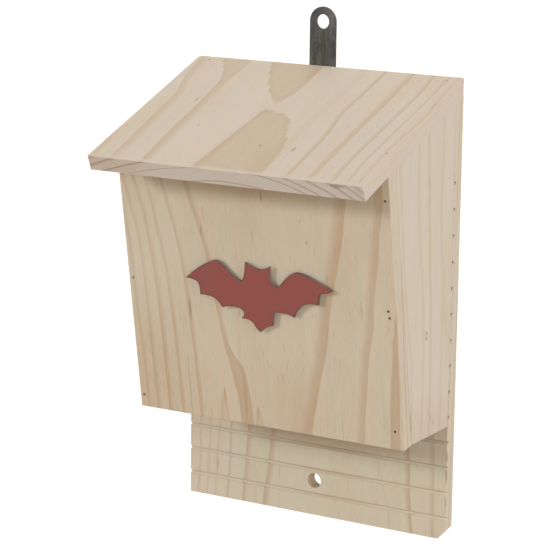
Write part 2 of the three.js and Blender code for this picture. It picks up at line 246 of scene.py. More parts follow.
BACK_LINES = [
    (-1, 1.5, 0.35, [(0, -101), (25, -99.6), (45, -98.6), (150, -96), (290, -93)]),
    (-1, 1.8, 0.45, [(0, -94), (25, -92.3), (45, -91.7), (150, -89), (290, -85)]),
    (-1, 1.8, 0.35, [(0, -87), (25, -85.3), (45, -84.2), (150, -81), (290, -76)]),
    (-1, 1.6, 0.45, [(0, -79.8), (25, -78.6), (45, -76.4), (150, -72), (290, -66)]),
    (-1, 2.2, 0.6, [(0, -70.5), (25, -68.2), (45, -67.6), (150, -61), (290, -54)]),
    (-1, 4.5, 0.55, [(0, -57.5), (25, -55.2), (45, -53.8), (150, -45), (290, -37)]),
    (-1, 5, 0.55, [(0, -40.6), (12, -39.5), (25, -37), (45, -35.2), (150, -24), (290, -10)]),
    (1, 4.5, 0.6, [(0, 76.2), (12, 75), (25, 73.6), (45, 72.9), (150, 62), (290, 34)]),
    (1, 3.8, 0.4, [(0, 92), (25, 90.8), (45, 90.6), (150, 84), (290, 70)]),
    (1, 3, 0.35, [(0, 104), (45, 102), (150, 97), (290, 90)]),
    (1, 2, 0.15, [(0, 59), (12, 57.8), (45, 49.5), (290, 20)]),
]
PARTITION_LINES = [
    (-1, 3, 0.5, [(0, -95), (110, -99)]),
    (-1, 4, 0.5, [(0, -70), (110, -76)]),
    (-1, 5, 0.55, [(0, -42), (110, -50)]),
    (-1, 6, 0.6, [(0, -12), (110, -22)]),
    (1, 6, 0.6, [(0, 38), (110, 30)]),
    (1, 4, 0.5, [(0, 60), (110, 54)]),
    (1, 3, 0.5, [(0, 80), (110, 75)]),
]

# Tongues, where the saw ran along a growth ring: edge width in mm, strength, how dark the inside is as
# a share of that, then the left and right sides' ways. There is none where the left is past the right.
ROOF_TONGUES = [
    (5, 0.68, 0.75,
     [(0, -22.3), (20, -19.3), (50, -16.3), (70, -13.5), (77, -12.5), (81, -9)],
     [(0, 27.3), (15, 27), (26, 26.3), (35, 24.5), (45, 21.5), (60, 15), (68, 11), (73, 7),
      (76, 0), (78, -8), (81, -13)]),
    (5, 0.66, 0.72, [(88, -9), (92, -12), (98, -18), (108, -25), (125, -35), (142, -42)],
     [(88, -11), (92, -9), (95, -7), (115, -3.3), (142, -3.8)]),
    (6, 0.5, 0.8, [(100, -60), (112, -64.5), (128, -72), (142, -80)],
     [(100, -60.5), (112, -60), (142, -58)]),
]
FRONT_TONGUES = [
    (1.6, 0.36, 0.6, [(0, -36), (14, -34.5), (24, -31.5), (30, -29)],
     [(0, -30.6), (14, -31.5), (24, -33), (30, -36)]),
    (1.4, 0.4, 0.7, [(0, -9.5), (10, -8.4), (18, -5)], [(0, -4.6), (10, -6.5), (18, -10)]),
    (4, 0.6, 0.85, [(0, -20), (10, -20.2), (20, -21.5), (30, -23.4), (40, -25.5), (50, -27.7),
                    (60, -29.6)],
     [(0, -12.3), (15, -13), (28, -14.2), (35, -15.4), (40, -17), (44, -20), (50, -24.3),
      (60, -28.3), (72, -35)]),
    (4, 0.6, 0.85, [(0, 91), (20, 92), (40, 93.6), (60, 95.6), (80, 98), (97, 100.5), (110, 104)],
     [(0, 96.8), (20, 97.4), (50, 98.4), (80, 99.3), (92, 99.6), (105, 98), (120, 95)]),
]

# Small marks: (mm across, along, deep), their half sizes, and how dark they are
ROOF_MARKS = [
    ((33.5, 34, 0), (1.6, 3.4, 2), 0.42),
    ((9, 34.5, 0), (0.9, 1.8, 2), 0.55),
    ((-67.5, 84, 0), (0.8, 3, 2), 0.6),
    ((-47, 52, 0), (0.7, 2.6, 2), 0.3),
    ((82, -0.3, 1.5), (6, 0.9, 1.8), 0.6),
    ((-90, 138, 0), (1.2, 1.2, 2), 0.35),
]
FRONT_MARKS = [
    ((-16.3, 18, 0), (1.8, 24, 3), 0.22),
    ((-32.2, 17, 0), (0.6, 9, 3), 0.4),
    ((-7.3, 9, 0), (0.5, 6, 3), 0.35),
    ((-53.6, 77, 0), (0.9, 9, 2), 0.55),
    ((-40, 133, 0), (0.8, 5, 2), 0.35),
    ((-59, 20, 0), (0.5, 32, 2), 0.35),
    ((38.5, 133, 0), (1, 2.2, 2), 0.35),
    ((34.5, 147, 0), (1, 2, 2), 0.2),
    ((75.2, 92, 0), (0.6, 8, 2), 0.4),
    ((56, 8, 0), (0.4, 14, 2), 0.3),
    ((7.5, 161, 0), (1, 5, 2), 0.4),
]
SIDE_MARKS = [
    ((-52.6, 14, 0), (0.5, 19, 2), 0.5),
    ((-54.4, 18, 0), (0.9, 3.2, 2), 0.75),
    ((-34.5, 70, 0), (1.9, 1.3, 0.9), 0.4),
    ((-34.5, 66.3, 0), (1.6, 1.4, 0.9), 0.45),
    ((-28.5, 16.5, 0), (1.2, 2, 2), 0.16),
    ((-25.5, 12.5, 0), (1.5, 2.6, 2), 0.22),
    ((-22.5, 9, 0), (1.5, 2.4, 2), 0.24),
    ((-20, 6.5, 0), (1.2, 2, 2), 0.16),
]
BACK_MARKS = [
    ((99.8, 57, 0), (0.5, 5, 1.5), 0.6),
    ((99.8, 44, 0), (0.45, 8, 1.5), 0.7),
    ((99.7, 26, 0), (0.4, 5, 1.5), 0.55),
    ((99.6, 20, 0), (0.35, 2.5, 1.5), 0.45),
    ((-77.4, 24, 0), (0.8, 6, 2), 0.4),
    ((58, 8, 0), (0.4, 6, 2), 0.3),
    ((49, 38, 0), (0.4, 12, 2), 0.2),
    ((-27.5, 26, 0), (0.4, 9, 2), 0.25),
]

# Amber and brown patches, measured as the marks are: resin stains, and on the front and back also painted
# shade under the roof and the box
ROOF_STAINS = [
    ((-86, -1, 5), (42, 3, 11), 0.22),
    ((-18, 15, 0), (5, 36, 2), 0.14),
    ((21, 14, 0), (5, 24, 2), 0.12),
    ((-9, 77, 0), (8, 5, 2), 0.12),
    ((-6, 132, 0), (5, 16, 2), 0.12),
]
FRONT_STAINS_AND_SHADE = [
    ((-80, -5, 0), (55, 75, 30), 0.16),
    # Painted shade: a warm brown band along the top of the front, under the roof's overhang
    ((-5, 166, 0), (62, 9, 4), 0.2),
    ((-4, 150, 0), (9, 30, 4), 0.12),
    ((-17.8, 60, 0), (2, 24, 3), 0.14),
    ((5, 10, 0), (48, 45, 3), 0.09),
    ((24, 5, 0), (7, 42, 3), 0.15),
]
SIDE_STAINS = [
    ((-34.5, 68, 0), (2.2, 4.2, 1.5), 0.2),
    # Warmer and darker towards the side board's lower edge
    ((-30, 0, 0), (70, 32, 30), 0.13),
    ((-3, 90, 0), (11, 70, 20), 0.09),
]
BACK_STAINS_AND_SHADE = [
    # Painted shade: a brown band across the back board just below the box
    ((15, 55, 0), (80, 9, 4), 0.2),
    # Painted shade: the grooves' insides darkened in the middle, under the box
    ((14, 32, 1.6), (36, 60, 1.3), 0.3),
    # A darker brown patch deep in the wall hole's walls
    ((-1, 24.4, 6), (7, 7, 6), 0.5),
]

# Where the wood is painted paler and its lines are faint, measured as the marks are: partly paler wood,
# and partly painted light that lifts shade
FRONT_PALES = [
    # Painted light and paler wood: the front's upper left, under the roof's left end
    ((-82, 125, 0), (50, 70, 8), 0.32),
]
BACK_PALES = [
    # Painted light and paler wood: the back board's lower left, below the box
    ((-85, 22, 0), (40, 45, 3), 0.3),
]

# Patterns in the wood: how much longer than wide they are, width in mm, detail, roughness and seed
# step. Real fibres are 0.03 mm wide, and these are 0.8 mm wide so that they show.
PATTERNS = {
    "waves": (4, 30, 1, 0.5, 0),
    "ragged": (26, 2, 3, 0.5, 0),
    "fibres": (12, 0.8, 3, 0.6, 3),
    "streaks": (26, 5, 3, 0.5, 5),
    "patches": (4, 22, 2, 0.5, 7),
    "channels": (12, 0.9, 1, 0.5, 11),
}
PATTERN_SPAN = {"From Min": 0.25, "From Max": 0.75}  # the values that a pattern mostly has
WARM_SPAN = {"From Min": 0.9, "From Max": 1.22, "To Max": 0.85}  # from pale to warm wood
CROWD_SPAN = {"From Min": 0.3, "From Max": 0.7, "To Min": 0.72, "To Max": 0.61}  # few to many channels
CHANNEL_FADE = 0.1  # over how much of their pattern the channels turn brown
CHANNEL_SHARE = 7  # how strongly they show, next to the fibres
SPECKLE_WIDTH = 0.7  # mm, cut fibres in end grain
SPECKLE_SPAN = {"To Min": 0.9, "To Max": 1.1}
SQUARE_ON = {"From Min": 0.6, "From Max": 0.9}  # how squarely a face looks along a direction
CHANNEL_BROWN = linear("#96704C")
# Fresh wood inside cuts and holes, which also stands in for painted light there
FRESH_CUT_AND_LIGHT = linear("#E2D5BD")
GROOVE_SHADE_BROWN = linear("#8F714E")
SPOT_TINTS = ("#DDD0B9", "#B98A58", "#806344")  # of pale places (partly painted light), stains (some painted shade) and small marks
EDGE_TINT = (1, 1.01, 1.06, 1)  # sawn edges, next to the planed faces
END_RING_TINT = (0.52, 0.43, 0.36)  # a ring in end grain, next to the wood round it
EDGE_LINES = 0.2  # how much of its lines a worn sawn edge shows
WORN_SHARE, WORN_START = 0.7, 0.7  # how pale the worn arris is, and where that starts on its width
FRESH_AND_LIT_DEPTH = {"From Min": 0.2, "From Max": 0.8, "To Max": 0.75}  # mm under the planed face
REAR_SKIN = {"From Min": BOARD / MM - 0.1, "From Max": BOARD / MM - 0.5}  # mm, the rear face is planed too
GROOVE_SHADE_SPAN = {"From Min": -0.7, "From Max": -0.95, "To Max": 0.5}  # the faces that look out of a groove, whose floors are painted brown as shade
GROOVE_END_SHARE = 0.1  # how much of the end grain's grey the grooves' sides have
SPOT_FADE = {"From Min": 1.15, "From Max": 0.3}  # shares of its half size between which a spot fades
WALL_HOLE_ZONE = 20  # mm, half the width of the zone that holds the hole for the wall screw
WOOD_RELIEF = {"Strength": 0.35, "Distance": 0.15 * MM}
WOOD_DULL = {"To Min": 0.6, "To Max": 0.8}
WOOD_SHEEN = 0.3


def pine(name, board, growth, spots, colours, surface, seed):
    """Planed, untreated pine: pale summer growth with warm dark lines that end sharply on their outer
    side, fine fibres along the grain, greyer end grain and a dull, dry surface.

    A board is its front corner, the directions across, along the grain and into the wood, and the place
    of the tree's middle: mm across, and its depth on the left and right (below 0 in front of the wood).
    Growth is its lines, its tongues, and the depths of the rings that are buried at the tree's middle.
    Spots are its pale places, partly painted light; its stains, some of them painted shade; and its small
    marks. Colours are those of the pale wood, the dark wood, its warm patches and its end grain. Its
    surface is told at BOARDS."""
    origin, across, grain, inward, (middle, left_depth, right_depth) = board
    lines, tongues, buried = growth
    fibre_contrast, blur, splinters, worn, sawn_in = surface
    material = new_material(name)
    tree = material.node_tree
    place = add_node(tree, "TexCoord")
    local = add_node(tree, "VectorMath", {0: place.outputs["Object"], 1: origin}, operation="SUBTRACT")
    sideways, lengthwise, inwards = [
        add_node(tree, "VectorMath", {0: local, 1: axis / MM}, operation="DOT_PRODUCT").outputs["Value"]
        for axis in (across, grain, inward)
    ]
    plain = add_node(tree, "CombineXYZ", {"X": sideways, "Y": lengthwise, "Z": inwards})
    patterns = {}
    for key, (length, width, detail, roughness, step) in PATTERNS.items():
        drawn_out = add_node(tree, "VectorMath", {0: plain, 1: (1, 1 / length, 1)},
                             operation="MULTIPLY")
        drawing = {"Vector": drawn_out, "W": seed + step, "Scale": 1 / width, "Detail": detail,
                   "Roughness": roughness}
        patterns[key] = add_node(tree, "TexNoise", drawing, noise_dimensions="4D")
    shift = add_node(tree, "MapRange", {"Value": patterns["waves"], "To Min": -WANDER, "To Max": WANDER})
    fray = add_node(tree, "MapRange", {"Value": patterns["ragged"], "To Min": -FRAY, "To Max": FRAY})
    shifted = add_node(tree, "Math", {0: sideways, 1: shift}, operation="ADD")
    shifted = add_node(tree, "Math", {0: shifted, 1: fray}, operation="ADD")

    # Rings are round about the tree's middle: a point in the wood is as old as one on its face
    offset = add_node(tree, "Math", {0: shifted, 1: middle}, operation="SUBTRACT")
    sign = add_node(tree, "Math", {0: offset}, operation="SIGN")
    depth = add_node(tree, "MapRange", {"Value": sign, "From Min": -1, "From Max": 1,
                                        "To Min": 2 * left_depth, "To Max": 2 * right_depth})
    below = add_node(tree, "Math", {0: inwards, 1: depth}, operation="MULTIPLY")
    squared = add_node(tree, "Math", {0: offset, 1: offset}, operation="MULTIPLY")
    level = add_node(tree, "Math", {0: squared, 1: below}, operation="SUBTRACT")
    on_face = add_node(tree, "Math", {0: level, 1: 0}, operation="MAXIMUM")
    root = add_node(tree, "Math", {0: on_face}, operation="SQRT")
    same_age = add_node(tree, "Math", {0: root, 1: sign, 2: middle}, operation="MULTIPLY_ADD")
    sunk = add_node(tree, "Math", {0: squared, 1: -1 / BURIED_ARC, 2: inwards}, operation="MULTIPLY_ADD")
    splinter = add_node(tree, "MapRange", {"Value": patterns["ragged"], "To Min": -splinters,
                                           "To Max": splinters})
    along = add_node(tree, "Math", {0: lengthwise, 1: splinter}, operation="ADD")
    along = add_node(tree, "MapRange", {"Value": along, "From Min": LENGTH_START,
                                        "From Max": LENGTH_END})

    dark, end_dark = 0, 0
    ways = [(width, strength, 0, [(side, way)]) for side, width, strength, way in lines]
    ways += [(width, strength, inside, [(-1, left), (1, right)])
             for width, strength, inside, left, right in tongues]
    for width, strength, inside, sides in ways:
        ring_share = RING_SHARE[sides[0][0]]
        nearest = None
        for side, way in sides:
            edge = add_node(tree, "FloatCurve", {"Value": along})
            edge.mapping.extend = "HORIZONTAL"
            curve = edge.mapping.curves[0]
            points = [((at - LENGTH_START) / (LENGTH_END - LENGTH_START), (x + SPREAD) / (2 * SPREAD))
                      for at, x in way]
            curve.points[0].location = points[0]
            curve.points[1].location = points[-1]
            for at, x in points[1:-1]:
                curve.points.new(at, x)
            for curve_point in curve.points:
                curve_point.handle_type = "AUTO_CLAMPED"
            edge.mapping.update()
            x = add_node(tree, "MapRange", {"Value": edge, "To Min": -SPREAD, "To Max": SPREAD})
            first, second = (x, same_age) if side > 0 else (same_age, x)
            within = add_node(tree, "Math", {0: first, 1: second}, operation="SUBTRACT")
            nearest = within if nearest is None else add_node(
                tree, "Math", {0: nearest, 1: within}, operation="MINIMUM")
        share = add_node(tree, "MapRange", {"Value": nearest, "From Min": -blur, "From Max": width})
        ramp = add_node(tree, "ValToRGB", {"Fac": share})
        fade = [(at, (1 - inside) * tone + inside if at else 0) for at, tone in LINE_FADE]
        for spot, (at, tone) in enumerate(fade):
            stop = ramp.color_ramp.elements[spot] if spot < 2 else ramp.color_ramp.elements.new(at)
            stop.position = at
            stop.color = (tone, tone, tone, 1)
        tone = add_node(tree, "Math", {0: ramp, 1: strength}, operation="MULTIPLY")
        dark = add_node(tree, "Math", {0: dark, 1: tone}, operation="MAXIMUM")
        thin = add_node(tree, "MapRange", {"Value": nearest, "From Min": 0, "From Max": RING_EDGE})
        thick = add_node(tree, "MapRange", {"Value": nearest, "From Min": RING_REACH,
                                            "From Max": RING_CORE})
        ring_end = add_node(tree, "Math", {0: thin, 1: thick}, operation="MULTIPLY")
        ring_end = add_node(tree, "Math", {0: ring_end, 1: min(1, ring_share * strength)},
                            operation="MULTIPLY")
        end_dark = add_node(tree, "Math", {0: end_dark, 1: ring_end}, operation="MAXIMUM")
    for buried_depth in buried:
        past = add_node(tree, "Math", {0: sunk, 1: buried_depth}, operation="GREATER_THAN")
        share = add_node(tree, "MapRange", {"Value": sunk, "From Min": buried_depth + RING_EDGE,
                                            "From Max": buried_depth, "To Max": BURIED_SHARE})
        share = add_node(tree, "Math", {0: share, 1: past}, operation="MULTIPLY")
        end_dark = add_node(tree, "Math", {0: end_dark, 1: share}, operation="MAXIMUM")

    # Resin channels: thin brown dashes, 0.5 mm by 5 mm, more in some places than in others
    crowd = add_node(tree, "MapRange", {"Value": patterns["patches"], **CROWD_SPAN})
    channels = add_node(tree, "Math", {0: patterns["channels"], 1: crowd}, operation="SUBTRACT")
    channels = add_node(tree, "MapRange", {"Value": channels, "From Max": CHANNEL_FADE,
                                           "To Max": CHANNEL_SHARE * fibre_contrast})

    # How squarely a face looks along the board's width, as its sawn edges do, and along its grain
    square_on = []
    for direction in (across, grain):
        facing = add_node(tree, "VectorMath", {0: place.outputs["Normal"], 1: direction},
                          operation="DOT_PRODUCT")
        facing = add_node(tree, "Math", {0: facing.outputs["Value"]}, operation="ABSOLUTE")
        square_on.append(add_node(tree, "MapRange", {"Value": facing, **SQUARE_ON}))
    edge_share, end_share = square_on
    if sawn_in:
        out = add_node(tree, "Math", {0: sideways}, operation="ABSOLUTE")
        outer = add_node(tree, "Math", {0: out, 1: WALL_HOLE_ZONE}, operation="GREATER_THAN")
        edge_share = add_node(tree, "Math", {0: edge_share, 1: outer}, operation="MULTIPLY")
    if worn:
        shown = add_node(tree, "MapRange", {"Value": edge_share, "To Min": 1, "To Max": EDGE_LINES})
        dark = add_node(tree, "Math", {0: dark, 1: shown}, operation="MULTIPLY")
        channels = add_node(tree, "Math", {0: channels, 1: shown}, operation="MULTIPLY")

    pale, late, warm, end = [linear(code) for code in colours]
    warmth = add_node(tree, "Math", {0: patterns["patches"], 1: patterns["streaks"]}, operation="ADD")
    warmth = add_node(tree, "MapRange", {"Value": warmth, **WARM_SPAN})
    colour = add_node(tree, "Mix", {"Factor": warmth, "A": pale, "B": warm}, data_type="RGBA")
    colour = add_node(tree, "Mix", {"Factor": dark, "A": colour, "B": late}, data_type="RGBA")
    for key in ("fibres", "streaks"):
        tone = add_node(tree, "MapRange", {"Value": patterns[key], **PATTERN_SPAN,
                                           "To Min": 1 - fibre_contrast, "To Max": 1 + fibre_contrast})
        colour = add_node(tree, "Mix", {"Factor": 1, "A": colour, "B": tone}, data_type="RGBA",
                          blend_type="MULTIPLY")
    colour = add_node(tree, "Mix", {"Factor": channels, "A": colour, "B": CHANNEL_BROWN},
                      data_type="RGBA")

    # The planed front arris is worn paler. The wood inside saw cuts and holes is painted paler: partly
    # fresh wood, and partly painted light that lifts the shade in these recesses
    if worn:
        near_end = add_node(tree, "MapRange", {"Value": lengthwise, "From Min": worn,
                                               "From Max": worn * WORN_START, "To Max": WORN_SHARE})
        colour = add_node(tree, "Mix", {"Factor": near_end, "A": colour, "B": pale}, data_type="RGBA")
    opened_and_lit = add_node(tree, "MapRange", {"Value": inwards, **FRESH_AND_LIT_DEPTH})
    kept = add_node(tree, "Math", {0: 1, 1: edge_share}, operation="SUBTRACT")
    opened_and_lit = add_node(tree, "Math", {0: opened_and_lit, 1: kept}, operation="MULTIPLY")
    rear = add_node(tree, "MapRange", {"Value": inwards, **REAR_SKIN})
    opened_and_lit = add_node(tree, "Math", {0: opened_and_lit, 1: rear}, operation="MULTIPLY")
    colour = add_node(tree, "Mix", {"Factor": opened_and_lit, "A": colour, "B": FRESH_CUT_AND_LIGHT}, data_type="RGBA")
    if sawn_in:
        # Painted shade: the grooves' floors, deep under their lips, are painted brown
        facing = add_node(tree, "VectorMath", {0: place.outputs["Normal"], 1: inward},
                          operation="DOT_PRODUCT")
        groove_shade = add_node(tree, "MapRange", {"Value": facing.outputs["Value"], **GROOVE_SHADE_SPAN})
        deep = add_node(tree, "Math", {0: inwards, 1: sawn_in / 2}, operation="GREATER_THAN")
        groove_shade = add_node(tree, "Math", {0: groove_shade, 1: deep}, operation="MULTIPLY")
        colour = add_node(tree, "Mix", {"Factor": groove_shade, "A": colour, "B": GROOVE_SHADE_BROWN},
                          data_type="RGBA")

    # Sawn edges are paler and cooler than the planed faces
    colour = add_node(tree, "Mix", {"Factor": edge_share, "A": colour, "B": EDGE_TINT},
                      data_type="RGBA", blend_type="MULTIPLY")

    # End grain drinks in dirt: greyer, with darker rings and a fine speckle of cut fibres
    if sawn_in:
        past_end = add_node(tree, "Math", {0: lengthwise, 1: 1}, operation="GREATER_THAN")
        shallow = add_node(tree, "Math", {0: inwards, 1: sawn_in}, operation="LESS_THAN")
        grooved = add_node(tree, "Math", {0: past_end, 1: shallow}, operation="MULTIPLY")
        whole = add_node(tree, "MapRange", {"Value": grooved, "To Min": 1, "To Max": GROOVE_END_SHARE})
        end_share = add_node(tree, "Math", {0: end_share, 1: whole}, operation="MULTIPLY")
    speckle = add_node(tree, "TexNoise", {"Vector": plain, "Scale": 1 / SPECKLE_WIDTH, "Detail": 3})
    speckle = add_node(tree, "MapRange", {"Value": speckle, **PATTERN_SPAN, **SPECKLE_SPAN})
    late_end = [part * shade for part, shade in zip(end, END_RING_TINT)] + [1]
    end_colour = add_node(tree, "Mix", {"Factor": end_dark, "A": end, "B": late_end}, data_type="RGBA")
    end_colour = add_node(tree, "Mix", {"Factor": 1, "A": end_colour, "B": speckle}, data_type="RGBA",
                          blend_type="MULTIPLY")
    colour = add_node(tree, "Mix", {"Factor": end_share, "A": colour, "B": end_colour},
                      data_type="RGBA")

    for spot_kind, tint in zip(spots, SPOT_TINTS):
        for spot_middle, half_sizes, strength in spot_kind:
            away = add_node(tree, "VectorMath", {0: plain, 1: spot_middle}, operation="SUBTRACT")
            away = add_node(tree, "VectorMath", {0: away, 1: half_sizes}, operation="DIVIDE")
            away = add_node(tree, "VectorMath", {0: away}, operation="LENGTH")
            near = add_node(tree, "MapRange", {"Value": away.outputs["Value"], **SPOT_FADE,
                                               "To Max": strength}, interpolation_type="SMOOTHSTEP")
            colour = add_node(tree, "Mix", {"Factor": near, "A": colour, "B": linear(tint)},
                              data_type="RGBA")

    relief = add_node(tree, "Math", {0: patterns["fibres"], 1: dark}, operation="ADD")
    bump = add_node(tree, "Bump", {**WOOD_RELIEF, "Height": relief})
    dull = add_node(tree, "MapRange", {"Value": patterns["fibres"], **WOOD_DULL})
    shader = add_node(tree, "BsdfPrincipled", {"Base Color": colour, "Roughness": dull,
                                               "Normal": bump, "Specular IOR Level": WOOD_SHEEN})
    add_node(tree, "OutputMaterial", {"Surface": shader})
    return material


# Metals, lacquer and foam

CLOUD_SPAN = {"From Min": 0.3, "From Max": 0.7}  # the values that clouds and grains mostly have
DULL_SPREAD = 0.08  # how far the dullness of metal varies either way
METAL_GRAIN = 0.6 * MM  # real scale has grains of 0.05 mm, drawn coarser so that they show
TINT_SPAN = {"From Min": 0.4, "From Max": 0.6}  # from one tint to the other
METAL_RELIEF = {"Strength": 0.2, "Distance": 0.05 * MM}
LACQUER_CLOUD, LACQUER_SKIN = 14 * MM, 0.9 * MM
LACQUER_SPAN = {"From Min": 0.35, "From Max": 0.65}
LACQUER_TONE = {"To Min": 0.96, "To Max": 1.04}
LACQUER_DULL = {"To Min": 0.55, "To Max": 0.7}
LACQUER_RELIEF = {"Strength": 0.15, "Distance": 0.05 * MM}
LACQUER_SHEEN = 0.4
FOAM_CELL = 0.5 * MM
FOAM_WHITE = "#E8E6E0"
FOAM_HOLLOW = 0.82  # painted shade: how bright the hollow of a cell is
FOAM_DULL = 0.9
FOAM_RELIEF = {"Strength": 0.5, "Distance": 0.1 * MM}


def metal(name, tints, dull, scale_mm, stretch, spread):
    """Bare metal with a cloudy, faintly streaked skin: broad clouds lead from one tint to the other, and
    smaller ones change its tone and its dullness."""
    material = new_material(name)
    tree = material.node_tree
    place = add_node(tree, "TexCoord")
    at = add_node(tree, "VectorMath", {0: place.outputs["Object"], 1: stretch}, operation="MULTIPLY")
    clouds = add_node(tree, "TexNoise", {"Vector": at, "Scale": 1 / (scale_mm * MM), "Detail": 5,
                                         "Roughness": 0.65})
    grains = add_node(tree, "TexNoise", {"Vector": place.outputs["Object"], "Scale": 1 / METAL_GRAIN,
                                         "Detail": 3})
    tone = add_node(tree, "MapRange", {"Value": clouds, **CLOUD_SPAN,
                                       "To Min": 1 - spread, "To Max": 1 + spread})
    fleck = add_node(tree, "MapRange", {"Value": grains, **CLOUD_SPAN,
                                        "To Min": 1 - spread / 2, "To Max": 1 + spread / 2})
    tone = add_node(tree, "Math", {0: tone, 1: fleck}, operation="MULTIPLY")
    broad = add_node(tree, "TexNoise", {"Vector": at, "Scale": 1 / (4 * scale_mm * MM)})
    broad = add_node(tree, "MapRange", {"Value": broad, **TINT_SPAN})
    colour = add_node(tree, "Mix", {"Factor": broad, "A": linear(tints[0]), "B": linear(tints[1])},
                      data_type="RGBA")
    colour = add_node(tree, "Mix", {"Factor": 1, "A": colour, "B": tone}, data_type="RGBA",
                      blend_type="MULTIPLY")
    rough = add_node(tree, "MapRange", {"Value": clouds, **CLOUD_SPAN, "To Min": dull + DULL_SPREAD,
                                        "To Max": dull - DULL_SPREAD})
    bump = add_node(tree, "Bump", {**METAL_RELIEF, "Height": grains})
    shader = add_node(tree, "BsdfPrincipled", {"Base Color": colour, "Metallic": 1,
                                               "Roughness": rough, "Normal": bump})
    add_node(tree, "OutputMaterial", {"Surface": shader})
    return material


# Hot rolled strip steel: dark scale, bluish and in places brown, with lighter streaks along the strip
strip_steel = metal("hot_rolled_strip_steel", ("#525254", "#4A4841"), 0.55, 5, (1, 1, 0.3), 0.45)
# Laser cut edge of sheet steel: bright grey with a faint violet cast
cut_steel = metal("cut_edge_of_sheet_steel", ("#9C99A3", "#98969E"), 0.5, 2, (1, 1, 1), 0.15)
# Zinc plate: pale, blue-grey and fairly bright
zinc_plate = metal("zinc_plated_steel", ("#A9ABAB", "#A3A5A8"), 0.35, 2, (1, 1, 1), 0.1)
# Drawn brad wire, sunk in its bore: nearly black with a brown cast, partly stained by the wood and partly
# painted shade of the bore
brad_steel = metal("drawn_brad_wire", ("#1E160E", "#241A10"), 0.6, 2, (1, 1, 1), 0.15)


def matt_lacquer(name, tints):
    """Matt lacquer on sheet steel: an even colour with a faint cloudiness and a fine skin."""
    material = new_material(name)
    tree = material.node_tree
    place = add_node(tree, "TexCoord")
    clouds = add_node(tree, "TexNoise", {"Vector": place.outputs["Object"], "Scale": 1 / LACQUER_CLOUD,
                                         "Detail": 4})
    skin = add_node(tree, "TexNoise", {"Vector": place.outputs["Object"], "Scale": 1 / LACQUER_SKIN,
                                       "Detail": 2})
    share = add_node(tree, "MapRange", {"Value": clouds, **LACQUER_SPAN})
    colour = add_node(tree, "Mix", {"Factor": share, "A": linear(tints[0]), "B": linear(tints[1])},
                      data_type="RGBA")
    tone = add_node(tree, "MapRange", {"Value": skin, **CLOUD_SPAN, **LACQUER_TONE})
    colour = add_node(tree, "Mix", {"Factor": 1, "A": colour, "B": tone}, data_type="RGBA",
                      blend_type="MULTIPLY")
    rough = add_node(tree, "MapRange", {"Value": clouds, **LACQUER_DULL})
    bump = add_node(tree, "Bump", {**LACQUER_RELIEF, "Height": skin})
    shader = add_node(tree, "BsdfPrincipled", {"Base Color": colour, "Roughness": rough,
                                               "Normal": bump, "Specular IOR Level": LACQUER_SHEEN})
    add_node(tree, "OutputMaterial", {"Surface": shader})
    return material


# Brown-red lacquer on the bat's face, and a darker brown line along the rim of its face
red_lacquer = matt_lacquer("matt_red_lacquer", ("#914A3F", "#8C4D44"))
dark_rim_lacquer = matt_lacquer("dark_rim_red_lacquer", ("#4E3331", "#553A37"))


def mounting_foam():
    """White closed-cell foam: matt, with cells of about 0.5 mm on its cut side."""
    material = new_material("closed_cell_foam")
    tree = material.node_tree
    place = add_node(tree, "TexCoord")
    cells = add_node(tree, "TexVoronoi", {"Vector": place.outputs["Object"], "Scale": 1 / FOAM_CELL})
    cells = cells.outputs["Distance"]
    tone = add_node(tree, "MapRange", {"Value": cells, "To Min": 1, "To Max": FOAM_HOLLOW})
    colour = add_node(tree, "Mix", {"Factor": 1, "A": linear(FOAM_WHITE), "B": tone},
                      data_type="RGBA", blend_type="MULTIPLY")
    bump = add_node(tree, "Bump", {**FOAM_RELIEF, "Height": cells})
    shader = add_node(tree, "BsdfPrincipled", {"Base Color": colour, "Roughness": FOAM_DULL,
                                               "Normal": bump})
    add_node(tree, "OutputMaterial", {"Surface": shader})
    return material


# Pieces

MERGE = 0.001 * MM  # corners nearer than this are one
TOUCH = 0.01 * MM  # what counts as lying in a face
SHORT_EDGE = 1.2 * MM  # edges of a bore's rim
LONG_EDGE = 4 * MM  # shorter edges belong to the brads' bores
ROUND_LEAST, ROUND_MOST = math.radians(5), math.radians(35)  # between the faces of a round wall
FLAT_ANGLE = math.radians(0.5)  # between faces that are one
EASED_ANGLE = math.radians(20)  # between faces whose edge can be eased
SMOOTH_BELOW = 35  # degrees between faces that are shaded as one


def solid_copy(node):
    """The node's own shape as an editable mesh, with flat faces in one piece except about a bore. Only
    its round walls are shaded smooth."""
    shape = bmesh.new()
    shape.from_mesh(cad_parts[node].data)
    for face in shape.faces:
        face.smooth = False
    bmesh.ops.remove_doubles(shape, verts=shape.verts, dist=MERGE)
    bores = {v for e in shape.edges for v in e.verts
             if e.calc_length() < SHORT_EDGE and e.calc_face_angle() > ROUND_LEAST}
    for edge in shape.edges:
        if ROUND_LEAST < edge.calc_face_angle() < ROUND_MOST:
            for face in edge.link_faces:
                face.smooth = True
    inner = [e for e in shape.edges if not bores.intersection(e.verts)]
    bmesh.ops.dissolve_limit(shape, angle_limit=FLAT_ANGLE, verts=shape.verts, edges=inner)
    return shape


def ease(shape, radius, wanted, segments=2):
    """Rounds the outward edges that are wanted."""
    corners = [e for e in shape.edges if e.is_manifold and e.is_convex
               and e.calc_face_angle() > EASED_ANGLE and wanted(e)]
    made = bmesh.ops.bevel(shape, geom=corners, offset=radius, offset_type="OFFSET",
                           segments=segments, profile=0.5, affect="EDGES", clamp_overlap=True)
    for face in made["faces"]:
        face.smooth = True


